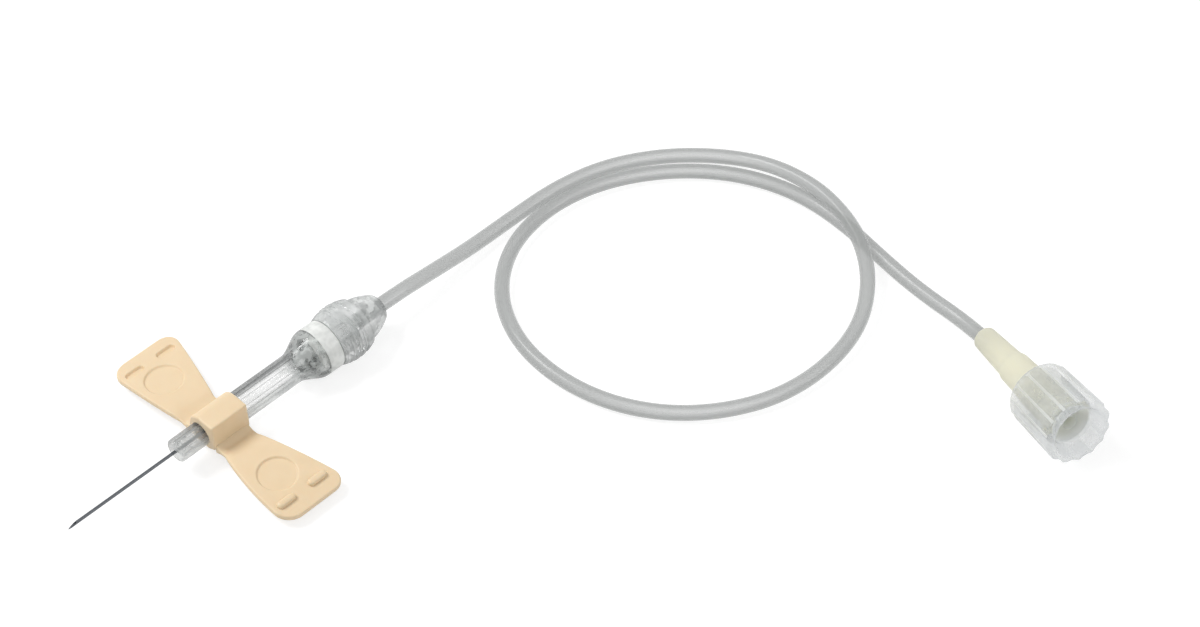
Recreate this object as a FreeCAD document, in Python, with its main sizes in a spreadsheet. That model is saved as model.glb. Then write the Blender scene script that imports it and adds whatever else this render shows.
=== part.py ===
import FreeCAD, Part
import Sketcher
import math
import os

# Winged infusion set with a sliding safety barrel, lying on a table.
# Lengths are in millimetres. The needle points along -X and the table is at Z = 0.

os.makedirs("parts", exist_ok=True)
doc = FreeCAD.newDocument("infusion_set")
sheet = doc.addObject("Spreadsheet::Sheet", "Sizes")
V = FreeCAD.Vector


class Size:
    """A length and the expression that ties it to the sheet."""

    def __init__(self, value, text):
        self.value = value
        self.text = text

    def __add__(self, other):
        other = as_size(other)
        return Size(self.value + other.value, f"({self.text} + {other.text})")

    def __sub__(self, other):
        other = as_size(other)
        return Size(self.value - other.value, f"({self.text} - {other.text})")

    def __mul__(self, other):
        other = as_size(other)
        return Size(self.value * other.value, f"({self.text} * {other.text})")

    def __truediv__(self, other):
        other = as_size(other)
        return Size(self.value / other.value, f"({self.text} / {other.text})")

    def __neg__(self):
        return Size(-self.value, f"(0 - {self.text})")


def as_size(item):
    if isinstance(item, Size):
        return item
    return Size(float(item), repr(float(item)))


class Sizes:
    """The driving sizes by name, each one written in the sheet."""

    def __init__(self, values):
        for row, (alias, value) in enumerate(values.items(), 1):
            sheet.set(f"A{row}", alias)
            sheet.set(f"B{row}", str(value))
            sheet.setAlias(f"B{row}", alias)
            setattr(self, alias, Size(float(value), f"Sizes.{alias}"))


sizes = {
    # Driving sizes of the sharp end. Stations along the barrel run from its nose face.
    "axis_height": 4.2,
    "needle_reach": 20.0,
    "needle_seat": 10.0,
    "needle_diameter": 0.5,
    "needle_lumen": 0.26,
    "bevel_length": 1.9,
    "running_gap": 0.06,
    "bond_gap": 0.01,

    "nose_length": 11.2,
    "nose_diameter": 3.75,
    "nose_bore": 2.76,
    "nose_wall": 0.7,
    "nose_hole": 0.9,
    "nose_chamfer": 0.3,
    "bore_cone_lead": 0.2,
    "bore_cone_length": 1.0,
    "barrel_diameter": 4.75,
    "barrel_bore": 3.75,
    "flare_start": 21.6,
    "flare_length": 5.0,
    "flare_diameter": 8.0,
    "flare_lead": 0.6,
    "flare_wall": 0.55,
    "flare_lip": 0.4,

    "ring_width": 1.9,
    "ring_spigot": 1.6,
    "spigot_chamfer": 0.3,
    "ring_bore": 5.8,
    "finger_length": 2.2,
    "finger_slot": 0.8,
    "finger_edge": 0.4,

    "hub_diameter": 2.6,
    "hub_front_gap": 0.1,
    "hub_lip": 0.4,
    "hub_chamfer": 0.15,
    "lock_groove_width": 1.0,
    "lock_groove_depth": 0.2,
    "hub_lumen": 1.2,
    "glue_well": 0.8,

    "grip_gap": 0.1,
    "grip_face_diameter": 8.1,
    "drum_length": 5.7,
    "drum_crest_start": 1.4,
    "drum_crest_length": 2.8,
    "drum_crest_diameter": 9.3,
    "drum_end_diameter": 7.7,
    "drum_step": 0.2,
    "dome_diameter": 7.2,
    "dome_length": 3.9,
    "dome_end_diameter": 4.6,
    "dome_middle": 2.0,
    "dome_middle_diameter": 6.4,
    "tail_length": 0.5,
    "tail_diameter": 3.2,
    "grip_cavity_diameter": 6.4,
    "grip_cavity_depth": 4.0,
    "hub_socket": 2.0,
    "rib_groove_width": 0.5,
    "rib_groove_depth": 0.42,
    "rib_pitch": 1.15,
    "rib_start": 1.5,

    # Driving sizes of the soft wings and their saddle.
    "saddle_start": 4.4,
    "saddle_length": 6.7,
    "saddle_top": 3.15,
    "saddle_half_top": 2.8,
    "saddle_half_base": 3.0,
    "saddle_crest": 0.4,
    "saddle_shoulder": 2.5,
    "saddle_shoulder_height": 1.0,
    "saddle_shoulder_round": 2.7,
    "saddle_keel": 2.35,
    "saddle_keel_half": 1.5,
    "saddle_keel_root": 2.6,
    "saddle_edge_chamfer": 0.25,
    "hinge_offset": 4.0,
    "hinge_drop": 1.45,
    "hinge_bead": 0.8,
    "bead_end_gap": 0.05,
    "flange_thickness": 0.6,
    "wing_reach": 16.2,
    "wing_thickness": 1.0,
    "wing_neck": 0.5,
    "wing_neck_reach": 0.9,
    "wing_neck_inset": 0.2,
    "wing_front_bow": 60.0,
    "wing_front": 3.75,
    "wing_tip_width": 11.9,
    "wing_root_front": 0.85,
    "wing_root_width": 6.1,
    "wing_corner": 2.3,
    "wing_edge_chamfer": 0.2,
    "dimple_diameter": 6.0,
    "dimple_depth": 0.15,
    "dimple_reach": 8.7,
    "dimple_station": 4.45,
    "peg_reach": 13.2,
    "peg_station": 2.2,
    "peg_spacing": 5.9,
    "peg_length": 2.8,
    "peg_width": 0.8,
    "peg_height": 0.8,
    "slot_margin": 0.1,
    "slot_depth": 0.55,

    # Driving sizes of the tubing, the luer hub and its cap.
    "tube_diameter": 2.4,
    "tube_socket": 4.0,
    "tube_lead": 3.2,
    "luer_x": 90.65,
    "luer_y": -67.95,
    "luer_height": 1.87,
    "luer_heading": -109.75,
    "luer_tip_diameter": 3.8,
    "luer_taper_length": 7.8,
    "luer_taper_diameter": 4.5,
    "luer_collar_diameter": 5.9,
    "luer_step_length": 0.8,
    "luer_step_diameter": 5.1,
    "luer_tip_round": 0.4,
    "luer_fluid_bore": 1.4,
    "luer_end": 22.85,
    "luer_body_diameter": 6.0,
    "luer_shoulder": 0.5,
    "luer_mouth": 4.28,
    "luer_depth": 7.5,
    "luer_cone": 0.06,
    "lug_span": 7.8,
    "lug_width": 3.0,
    "lug_thickness": 1.2,
    "lug_rake": 0.4,

    "cap_start": 15.0,
    "cap_length": 11.3,
    "cap_rear_diameter": 10.3,
    "cap_front_diameter": 10.85,
    "cap_rear_chamfer": 0.7,
    "cap_front_chamfer": 0.25,
    "cap_bore": 8.2,
    "cap_recess_depth": 2.6,
    "cap_recess_mouth": 8.5,
    "cap_recess_floor": 6.2,
    "cap_web": 0.8,
    "plug_length": 5.2,
    "plug_core": 2.2,
    "plug_skin": 0.8,
    "flute_radius": 2.3,
    "flute_depth": 0.4,
}
finger_count = 6
rib_count = 3
flute_count = 14
dim = Sizes(sizes)

# Derived stations, all measured from the nose face.
barrel_end = dim.flare_start + dim.flare_length + dim.flare_lip
ring_end = barrel_end + dim.ring_width
grip_start = ring_end + dim.grip_gap
drum_end = grip_start + dim.drum_length
dome_start = drum_end + dim.drum_step
dome_end = dome_start + dim.dome_length
body_length = dome_end + dim.tail_length
nose_x = (dim.needle_reach - body_length) / 2
hub_start = dim.nose_wall + dim.hub_front_gap
cavity_floor = grip_start + dim.grip_cavity_depth
hub_end = cavity_floor + dim.hub_socket
tube_start = body_length - dim.tube_socket


def bind(item, prop, size):
    item.setExpression(prop, as_size(size).text)


def origin_item(body, role):
    for feature in body.Origin.OriginFeatures:
        if feature.Role == role:
            return feature
    raise ValueError(role)


def make_body(name):
    body = doc.addObject("PartDesign::Body", name)
    body.Label = name
    return body


def make_sketch(body, role, name, lift=None):
    """Attach a sketch to one of the body's own planes, lifted along its normal."""
    sketch = body.newObject("Sketcher::SketchObject", name)
    sketch.AttachmentSupport = [(origin_item(body, role), "")]
    sketch.MapMode = "FlatFace"
    if lift is not None:
        bind(sketch, "AttachmentOffset.Base.z", lift)
    return sketch


def pin(sketch, edge, end, x, y):
    """Hold one end of an edge at (x, y) by named distances."""
    for axis, size in (("X", x), ("Y", y)):
        size = as_size(size)
        if abs(size.value) < 1e-9:
            sketch.addConstraint(Sketcher.Constraint("PointOnObject", edge, end, -2 if axis == "X" else -1))
            continue
        if size.value > 0:
            row = sketch.addConstraint(Sketcher.Constraint("Distance" + axis, -1, 1, edge, end, size.value))
            sketch.setExpression(f"Constraints[{row}]", size.text)
        else:
            row = sketch.addConstraint(Sketcher.Constraint("Distance" + axis, edge, end, -1, 1, -size.value))
            sketch.setExpression(f"Constraints[{row}]", (-size).text)


def draw(sketch, corners):
    """Draw a closed outline through corners (x, y) or (x, y, radius).

    A corner with a radius starts an arc to the next corner. A positive radius
    bulges to the right of the way from one corner to the next.
    """
    ends = []
    count = len(corners)
    for i, corner in enumerate(corners):
        follow = corners[(i + 1) % count]
        a = V(as_size(corner[0]).value, as_size(corner[1]).value, 0)
        b = V(as_size(follow[0]).value, as_size(follow[1]).value, 0)
        if len(corner) == 2:
            edge = sketch.addGeometry(Part.LineSegment(a, b), False)
            ends.append((edge, 1, 2))
            continue
        radius = as_size(corner[2]).value
        half = (b - a) / 2
        side = V(half.y, -half.x, 0).normalize()
        sagitta = abs(radius) - math.sqrt(max(radius * radius - half.Length ** 2, 0.0))
        middle = a + half + side * math.copysign(sagitta, radius)
        clockwise = (middle - a).cross(b - middle).z < 0
        arc = Part.Arc(b, middle, a) if clockwise else Part.Arc(a, middle, b)
        edge = sketch.addGeometry(arc, False)
        ends.append((edge, 2, 1) if clockwise else (edge, 1, 2))
        row = sketch.addConstraint(Sketcher.Constraint("Radius", edge, abs(radius)))
        size = as_size(corner[2])
        sketch.setExpression(f"Constraints[{row}]", size.text if radius > 0 else (-size).text)
    for i, corner in enumerate(corners):
        edge, first, last = ends[i]
        follow = ends[(i + 1) % count]
        sketch.addConstraint(Sketcher.Constraint("Coincident", edge, last, follow[0], follow[1]))
        pin(sketch, edge, first, corner[0], corner[1])


def circle(sketch, x, y, radius):
    x, y, radius = as_size(x), as_size(y), as_size(radius)
    edge = sketch.addGeometry(Part.Circle(V(x.value, y.value, 0), V(0, 0, 1), radius.value), False)
    pin(sketch, edge, 3, x, y)
    row = sketch.addConstraint(Sketcher.Constraint("Radius", edge, radius.value))
    sketch.setExpression(f"Constraints[{row}]", radius.text)


def capsule(sketch, x, y, length, width):
    """Draw a round-ended bar along X, centred on (x, y)."""
    half = (length - width) / 2
    radius = width / 2
    draw(sketch, [
        (x - half, y - radius),
        (x + half, y - radius, radius),
        (x + half + radius, y, radius),
        (x + half, y + radius),
        (x - half, y + radius, radius),
        (x - half - radius, y, radius),
    ])


def revolve(body, name, corners):
    """Turn a profile of (station, radius) corners round the body's X axis."""
    sketch = make_sketch(body, "XY_Plane", name + "_profile")
    draw(sketch, corners)
    turn = body.newObject("PartDesign::Revolution", name)
    turn.Profile = sketch
    turn.ReferenceAxis = (sketch, ["H_Axis"])
    turn.Angle = 360.0
    return turn


def pad(body, sketch, name, length, midplane=False, backwards=False):
    feature = body.newObject("PartDesign::Pad", name)
    feature.Profile = sketch
    feature.Midplane = midplane
    feature.Reversed = backwards
    bind(feature, "Length", length)
    return feature


def check_cut(body, feature, before):
    """Make sure that a cut took material away."""
    doc.recompute()
    if body.Shape.Volume >= before - 1e-6:
        raise ValueError(feature.Label + " cuts nothing")


def pocket(body, sketch, name, length, midplane=False, backwards=False):
    doc.recompute()
    before = body.Shape.Volume
    feature = body.newObject("PartDesign::Pocket", name)
    feature.Profile = sketch
    feature.Midplane = midplane
    feature.Reversed = backwards
    bind(feature, "Length", length)
    check_cut(body, feature, before)
    return feature


def groove(body, sketch, name):
    """Cut a ring round the body's X axis."""
    doc.recompute()
    before = body.Shape.Volume
    feature = body.newObject("PartDesign::Groove", name)
    feature.Profile = sketch
    feature.ReferenceAxis = (sketch, ["H_Axis"])
    feature.Angle = 360.0
    check_cut(body, feature, before)
    return feature


def polar(body, name, feature, copies):
    pattern = body.newObject("PartDesign::PolarPattern", name)
    pattern.Originals = [feature]
    pattern.Axis = (origin_item(body, "X_Axis"), [""])
    pattern.Angle = 360.0
    pattern.Occurrences = copies
    body.Tip = pattern
    return pattern


def dress_edges(body, name, kind, amount, chosen):
    """Fillet or chamfer the edges of the body's tip that the test picks."""
    doc.recompute()
    base = body.Tip
    names = []
    for i, edge in enumerate(base.Shape.Edges):
        if chosen(edge):
            names.append(f"Edge{i + 1}")
    if not names:
        raise ValueError(name + " has no edges")
    dressed = body.newObject("PartDesign::" + kind, name)
    dressed.Base = (base, names)
    bind(dressed, "Radius" if kind == "Fillet" else "Size", amount)
    body.Tip = dressed
    doc.recompute()
    if dressed.Shape.isNull() or dressed.Shape.Volume >= base.Shape.Volume:
        raise ValueError(name + " takes nothing away")
    return dressed


def place(item, x, y, z):
    bind(item, "Placement.Base.x", x)
    bind(item, "Placement.Base.y", y)
    bind(item, "Placement.Base.z", z)


def s_curve(x, r, run, rise):
    """Corners of two equal arcs that lead smoothly from (x, r) by (run, rise)."""
    bend = (run * run + rise * rise) / (rise * 4)
    return [(x, r, bend), (x + run / 2, r + rise / 2, -bend), (x + run, r + rise)]


def build_needle():
    """Steel cannula with its bevel up, seated in the hub."""
    body = make_body("needle_cannula")
    length = dim.needle_reach + hub_start + dim.needle_seat
    revolve(body, "cannula", [
        (0, dim.needle_lumen / 2),
        (length, dim.needle_lumen / 2),
        (length, dim.needle_diameter / 2),
        (0, dim.needle_diameter / 2),
    ])
    sketch = make_sketch(body, "XZ_Plane", "bevel_profile")
    margin = dim.needle_diameter
    draw(sketch, [
        (-margin, -dim.needle_diameter / 2),
        (0, -dim.needle_diameter / 2),
        (dim.bevel_length, dim.needle_diameter / 2),
        (dim.bevel_length, dim.needle_diameter),
        (-margin, dim.needle_diameter),
    ])
    pocket(body, sketch, "bevel", dim.needle_diameter * 2, midplane=True)
    place(body, nose_x - dim.needle_reach, 0, dim.axis_height)
    return body


def build_hub():
    """Clear shaft that holds the needle and runs back into the grip."""
    body = make_body("needle_hub")
    hole = dim.needle_diameter / 2 + dim.bond_gap
    outer = dim.hub_diameter / 2
    groove = outer - dim.lock_groove_depth
    groove_start = hub_start + dim.hub_lip
    needle_end = hub_start + dim.needle_seat
    revolve(body, "shaft", [
        (hub_start, hole + dim.glue_well / 2),
        (hub_start, outer - dim.hub_chamfer),
        (hub_start + dim.hub_chamfer, outer),
        (groove_start, outer),
        (groove_start, groove),
        (groove_start + dim.lock_groove_width, groove),
        (groove_start + dim.lock_groove_width + dim.lock_groove_depth, outer),
        (hub_end, outer),
        (hub_end, dim.hub_lumen / 2),
        (needle_end, dim.hub_lumen / 2),
        (needle_end, hole),
        (hub_start + dim.glue_well, hole),
    ])
    place(body, nose_x, 0, dim.axis_height)
    return body


def build_barrel():
    """Clear safety barrel: slim nose, main tube and flared rear."""
    body = make_body("sheath_barrel")
    nose = dim.nose_diameter / 2
    tube = dim.barrel_diameter / 2
    bore = dim.barrel_bore / 2
    mouth = dim.flare_diameter / 2
    cone_end = dim.nose_length - dim.bore_cone_lead
    revolve(body, "barrel", [
        (0, dim.nose_hole / 2),
        (0, nose - dim.nose_chamfer),
        (dim.nose_chamfer, nose),
        (dim.nose_length, nose),
        (dim.nose_length, tube),
    ] + s_curve(dim.flare_start, tube, dim.flare_length, mouth - tube) + [
        (barrel_end, mouth),
        (barrel_end, mouth - dim.flare_wall),
        (barrel_end - dim.ring_spigot, mouth - dim.flare_wall),
        (dim.flare_start + dim.flare_lead, bore),
        (cone_end + dim.bore_cone_length, bore),
        (cone_end, dim.nose_bore / 2),
        (dim.nose_wall, dim.nose_bore / 2),
        (dim.nose_wall, dim.nose_hole / 2),
    ])
    place(body, nose_x, 0, dim.axis_height)
    return body


def build_lock_ring():
    """Frosted ring in the flared mouth, with six spring fingers on the shaft."""
    body = make_body("lock_ring")
    mouth = dim.flare_diameter / 2
    spigot = mouth - dim.flare_wall - dim.bond_gap
    spigot_start = barrel_end - dim.ring_spigot
    tip = spigot_start - dim.finger_length
    bore = dim.ring_bore / 2
    grip_radius = dim.hub_diameter / 2 + dim.running_gap
    revolve(body, "ring", [
        (tip, grip_radius),
        (spigot_start, bore),
        (ring_end, bore),
        (ring_end, mouth),
        (barrel_end, mouth),
        (barrel_end, spigot),
        (spigot_start + dim.spigot_chamfer, spigot),
        (spigot_start, spigot - dim.spigot_chamfer),
        (tip, grip_radius + dim.finger_edge),
    ])
    sketch = make_sketch(body, "XY_Plane", "finger_gap_profile")
    half = dim.finger_slot / 2
    gap_end = spigot_start + dim.finger_edge
    draw(sketch, [
        (tip - dim.finger_slot, -half),
        (gap_end, -half),
        (gap_end, half),
        (tip - dim.finger_slot, half),
    ])
    gap = pocket(body, sketch, "finger_gap", mouth, backwards=True)
    polar(body, "finger_gaps", gap, finger_count)
    place(body, nose_x, 0, dim.axis_height)
    return body


def build_grip():
    """Clear thumb grip: ribbed drum with flats, then the dome that holds the tube."""
    body = make_body("rear_grip")
    socket = dim.hub_diameter / 2 + dim.bond_gap
    tube_hole = dim.tube_diameter / 2 + dim.bond_gap
    crest = dim.drum_crest_diameter / 2
    revolve(body, "grip", [
        (grip_start, dim.grip_cavity_diameter / 2),
        (grip_start, dim.grip_face_diameter / 2),
        (grip_start + dim.drum_crest_start, crest),
        (grip_start + dim.drum_crest_start + dim.drum_crest_length, crest),
        (drum_end, dim.drum_end_diameter / 2),
        (dome_start, dim.dome_diameter / 2),
        (dome_start + dim.dome_middle, dim.dome_middle_diameter / 2),
        (dome_end, dim.dome_end_diameter / 2),
        (body_length, dim.tail_diameter / 2),
        (body_length, tube_hole),
        (tube_start, tube_hole),
        (tube_start, dim.hub_lumen / 2),
        (hub_end, dim.hub_lumen / 2),
        (hub_end, socket),
        (cavity_floor, socket),
        (cavity_floor, dim.grip_cavity_diameter / 2),
    ])
    sketch = make_sketch(body, "XZ_Plane", "flat_profile")
    reach = dim.axis_height * 2
    for side in (1, -1):
        draw(sketch, [
            (grip_start - dim.grip_gap, dim.axis_height * side),
            (dome_start, dim.axis_height * side),
            (dome_start, reach * side),
            (grip_start - dim.grip_gap, reach * side),
        ])
    pocket(body, sketch, "flats", reach * 2, midplane=True)
    rib = make_sketch(body, "XY_Plane", "rib_profile")
    deep = crest - dim.rib_groove_depth
    rib_x = grip_start + dim.rib_start
    draw(rib, [
        (rib_x, deep),
        (rib_x + dim.rib_groove_width, deep),
        (rib_x + dim.rib_groove_width, reach),
        (rib_x, reach),
    ])
    ring = groove(body, rib, "rib_groove")
    pattern = body.newObject("PartDesign::LinearPattern", "rib_grooves")
    pattern.Originals = [ring]
    pattern.Direction = (origin_item(body, "X_Axis"), [""])
    bind(pattern, "Length", dim.rib_pitch * (rib_count - 1))
    pattern.Occurrences = rib_count
    body.Tip = pattern
    place(body, nose_x, 0, dim.axis_height)
    return body


def build_saddle():
    """Soft saddle moulded round the nose, with a flange at each wing root."""
    body = make_body("wing_saddle")
    top = dim.saddle_top
    base = dim.flange_thickness / 2 - dim.hinge_drop
    under = -dim.hinge_drop - dim.flange_thickness / 2
    flange = dim.hinge_offset - dim.hinge_bead / 2
    sketch = make_sketch(body, "YZ_Plane", "saddle_profile")
    draw(sketch, [
        (-dim.saddle_half_top, top),
        (-dim.saddle_half_base, base),
        (-flange, base),
        (-flange, under),
        (-dim.saddle_keel_root, under),
        (-dim.saddle_keel_half, -dim.saddle_keel),
        (dim.saddle_keel_half, -dim.saddle_keel),
        (dim.saddle_keel_root, under),
        (flange, under),
        (flange, base),
        (dim.saddle_half_base, base),
        (dim.saddle_shoulder, dim.saddle_shoulder_height, dim.saddle_shoulder_round),
        (dim.saddle_crest, top),
    ])
    circle(sketch, 0, 0, dim.nose_diameter / 2 + dim.bond_gap)
    pad(body, sketch, "saddle", dim.saddle_length)
    bead = make_sketch(body, "YZ_Plane", "bead_seat_profile")
    seat = dim.hinge_bead / 2 + dim.running_gap
    for side in (1, -1):
        circle(bead, dim.hinge_offset * side, -dim.hinge_drop, seat)
    pocket(body, bead, "bead_seats", dim.saddle_length, backwards=True)
    dress_edges(body, "soft_edges", "Chamfer", dim.saddle_edge_chamfer, is_top_edge)
    place(body, nose_x + dim.saddle_start, 0, dim.axis_height)
    return body


def middle_of(edge):
    return edge.valueAt((edge.FirstParameter + edge.LastParameter) / 2)


def is_level(edge):
    """True for an edge that lies flat in one height."""
    ends = [edge.valueAt(edge.FirstParameter).z, edge.valueAt(edge.LastParameter).z]
    return max(abs(z - middle_of(edge).z) for z in ends) < 1e-4


def is_top_edge(edge):
    """True for an edge of the saddle's flat top that runs along the barrel."""
    span = edge.valueAt(edge.LastParameter) - edge.valueAt(edge.FirstParameter)
    along = math.hypot(span.y, span.z) < 1e-4
    return along and abs(middle_of(edge).z - dim.saddle_top.value) < 1e-4


def build_wing(name, pegs):
    """One wing with its root bead on the hinge line. The wing lies along +Y.

    The wing with slots shows its upper face. The other one is turned over, so
    its pegs stand on its lower face here.
    """
    body = make_body(name)
    blade = make_sketch(body, "XY_Plane", "blade_profile")
    root_rear = dim.wing_root_front + dim.wing_root_width
    draw(blade, [
        (dim.wing_root_front, dim.wing_neck_reach),
        (root_rear, dim.wing_neck_reach),
        (dim.wing_tip_width, dim.wing_reach),
        (0, dim.wing_reach, dim.wing_front_bow),
    ])
    pad(body, blade, "blade", dim.wing_thickness, midplane=True)
    at_tip = dim.wing_reach.value - 1e-4
    dress_edges(body, "tip_corners", "Fillet", dim.wing_corner,
                lambda edge: not is_level(edge) and middle_of(edge).y > at_tip)
    dress_edges(body, "blade_edges", "Chamfer", dim.wing_edge_chamfer, is_level)
    neck = make_sketch(body, "XY_Plane", "neck_profile")
    overlap = dim.wing_neck_reach + dim.wing_edge_chamfer * 2
    draw(neck, [
        (dim.wing_root_front, 0),
        (root_rear - dim.wing_neck_inset, 0),
        (root_rear - dim.wing_neck_inset, overlap),
        (dim.wing_root_front, overlap),
    ])
    pad(body, neck, "neck", dim.wing_neck, midplane=True)
    bead_start = dim.saddle_start - dim.wing_front + dim.bead_end_gap
    bead = make_sketch(body, "YZ_Plane", "bead_profile", bead_start)
    circle(bead, 0, 0, dim.hinge_bead / 2)
    pad(body, bead, "bead", dim.saddle_length - dim.bead_end_gap * 2)
    turned = -1 if pegs else 1
    face = dim.wing_thickness / 2 * turned
    dimple = make_sketch(body, "XY_Plane", "dimple_profile", face)
    circle(dimple, dim.dimple_station, dim.dimple_reach, dim.dimple_diameter / 2)
    pocket(body, dimple, "dimple", dim.dimple_depth, backwards=pegs)
    locks = make_sketch(body, "XY_Plane", "lock_profile", face)
    grow = as_size(0) if pegs else dim.slot_margin
    for step in (0, 1):
        station = dim.peg_station + dim.peg_spacing * step
        capsule(locks, station, dim.peg_reach, dim.peg_length + grow, dim.peg_width + grow)
    if pegs:
        pad(body, locks, "pegs", dim.peg_height, backwards=True)
    else:
        pocket(body, locks, "slots", dim.slot_depth)
    axis = V(1, 0, 0) if pegs else V(-1, 0, 0)
    start_angle = 190.0 if pegs else 10.0
    body.Placement = FreeCAD.Placement(V(0, 0, 0), FreeCAD.Rotation(axis, start_angle))
    hinge_height = dim.axis_height - dim.hinge_drop
    rise = hinge_height - dim.wing_thickness / 2
    lift = f"asin({rise.text} / {dim.wing_reach.text})"
    body.setExpression("Placement.Rotation.Angle", f"180 deg + {lift}" if pegs else lift)
    place(body, nose_x + dim.wing_front, -dim.hinge_offset if pegs else dim.hinge_offset, hinge_height)
    return body


def sheet_value(size):
    """Read a size from the sheet, for the shapes made by hand."""
    return float(sheet.get(size.text.replace("Sizes.", "")))


# The tube's route on the table, chosen by hand: X, Y and height of each corner
# between the straight leads out of the grip's socket and the luer hub's socket.
route = [
    (41.0, 0.4, 3.1),
    (49.8, 0.9, 1.5),
    (58.8, 1.2, 1.2),
    (68.0, 0.9, 1.2),
    (76.9, -1.3, 1.2),
    (85.0, -6.0, 1.2),
    (91.5, -12.4, 1.2),
    (95.7, -20.2, 2.2),
    (97.1, -27.6, 4.8),
    (95.9, -34.2, 6.8),
    (92.6, -41.0, 6.8),
    (86.6, -47.6, 4.4),
    (79.0, -52.2, 1.8),
    (70.0, -54.2, 1.2),
    (60.9, -53.1, 1.2),
    (52.9, -49.4, 1.2),
    (46.4, -43.3, 1.2),
    (42.0, -35.4, 1.2),
    (40.4, -26.5, 1.2),
    (41.6, -17.5, 1.2),
    (46.1, -9.4, 1.2),
    (53.3, -3.6, 1.2),
    (62.0, -1.5, 1.2),
    (70.9, -2.4, 1.2),
    (79.2, -6.1, 1.2),
    (86.4, -12.0, 1.2),
    (91.5, -19.5, 1.2),
    (94.3, -28.0, 1.2),
    (94.6, -37.0, 1.2),
    (93.2, -45.8, 1.2),
    (92.2, -54.4, 1.2),
]


def luer_direction():
    """Unit vector of the connector: its heading in plan and its tilt off the table."""
    rise = dim.cap_rear_diameter.value / 2 - dim.luer_height.value
    tilt = math.atan2(rise, dim.cap_start.value + dim.cap_rear_chamfer.value)
    heading = math.radians(dim.luer_heading.value)
    flat = math.cos(tilt)
    return V(flat * math.cos(heading), flat * math.sin(heading), math.sin(tilt)), math.degrees(tilt)


def tube_path(corners):
    """Straight runs joined by arcs as large as the runs allow."""
    edges = []
    radii = []
    start = corners[0]
    for i in range(1, len(corners) - 1):
        before = corners[i] - corners[i - 1]
        after = corners[i + 1] - corners[i]
        turn = before.getAngle(after)
        cut = 0.45 * min(before.Length, after.Length)
        radii.append(cut / math.tan(turn / 2))
        a = corners[i] - before / before.Length * cut
        b = corners[i] + after / after.Length * cut
        chord = (a + b) / 2 - corners[i]
        sagitta = radii[-1] / math.cos(turn / 2) - radii[-1]
        middle = corners[i] + chord / chord.Length * sagitta
        edges.append(Part.LineSegment(start, a).toShape())
        edges.append(Part.Arc(a, middle, b).toShape())
        start = b
    edges.append(Part.LineSegment(start, corners[-1]).toShape())
    return Part.Wire(edges), radii


def build_tubing():
    """Soft tube that leaves the grip, lies in one loop and enters the luer hub."""
    heading, _ = luer_direction()
    mouth = V(dim.luer_x.value, dim.luer_y.value, dim.luer_height.value)
    tail = V((nose_x + body_length).value, 0, dim.axis_height.value)
    seat = dim.tube_socket.value
    lead = dim.tube_lead.value
    leaves = [tail - V(seat, 0, 0), tail + V(lead, 0, 0)]
    enters = [mouth - heading * lead, mouth + heading * seat]
    corners = leaves + [V(*point) for point in route] + enters
    path, radii = tube_path(corners)
    radius = sheet_value(dim.tube_diameter) / 2
    first = corners[1] - corners[0]
    ring = Part.Wire([Part.Circle(corners[0], first, radius).toShape()])
    tube = path.makePipe(Part.Face(ring))
    item = doc.addObject("Part::Feature", "tubing")
    item.Label = "tubing"
    item.Shape = tube
    item.Placement = FreeCAD.Placement()
    section = math.pi * radius * radius
    print(f"tube length {path.Length:.1f} volume ratio {tube.Volume / (section * path.Length):.4f}")
    print("tube radii", " ".join(f"{value:.0f}" for value in radii))
    runs = [(corners[i + 1] - corners[i]).Length for i in range(len(corners) - 1)]
    print("tube runs", " ".join(f"{value:.1f}" for value in runs))
    return item


def aim_along_luer(body, station):
    """Lay a body that is modelled along +X on the connector's line."""
    heading, tilt = luer_direction()
    turn = FreeCAD.Rotation(V(0, 0, 1), dim.luer_heading.value) * FreeCAD.Rotation(V(0, 1, 0), -tilt)
    body.Placement = FreeCAD.Placement(V(0, 0, 0), turn)
    place(
        body,
        dim.luer_x + station * heading.x,
        dim.luer_y + station * heading.y,
        dim.luer_height + station * heading.z,
    )


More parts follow.
